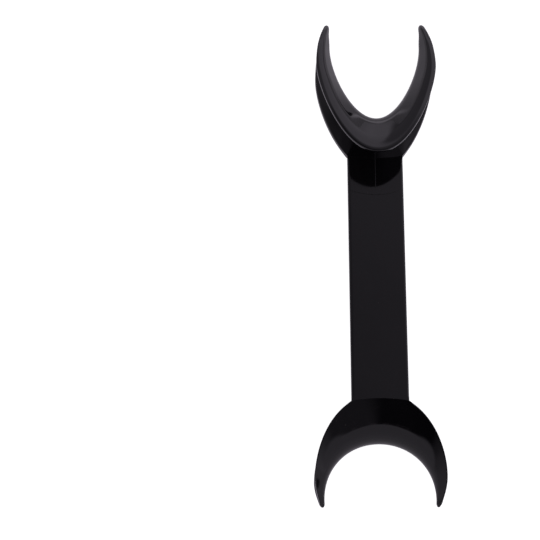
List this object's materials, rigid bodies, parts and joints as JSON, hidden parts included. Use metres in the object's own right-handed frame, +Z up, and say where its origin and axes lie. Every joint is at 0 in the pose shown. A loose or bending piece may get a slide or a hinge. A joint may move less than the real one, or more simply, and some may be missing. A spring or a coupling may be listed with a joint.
{
  "type": "cheek retractor",
  "caption": "Double-ended cheek retractor: a flat handle with a small and a large C-shaped hook that hold the lip and cheek away from the teeth.",
  "frame": {"origin": "under the middle of the retractor as it lies at rest, on the surface it lies on", "axes": "+Y along the handle towards the small hook, +X across the handle, +Z up"},
  "size_m": [0.0458, 0.174, 0.0254],
  "materials": {
    "black_plastic": "polished black injection-moulded plastic with faint moulding marks"
  },
  "bodies": {
    "root": {"handle": "black_plastic", "small_end_plate": "black_plastic", "small_end_saddle": "black_plastic", "small_end_lip": "black_plastic", "large_end_plate": "black_plastic", "large_end_saddle": "black_plastic", "large_end_lip": "black_plastic"}
  },
  "joints": []
}
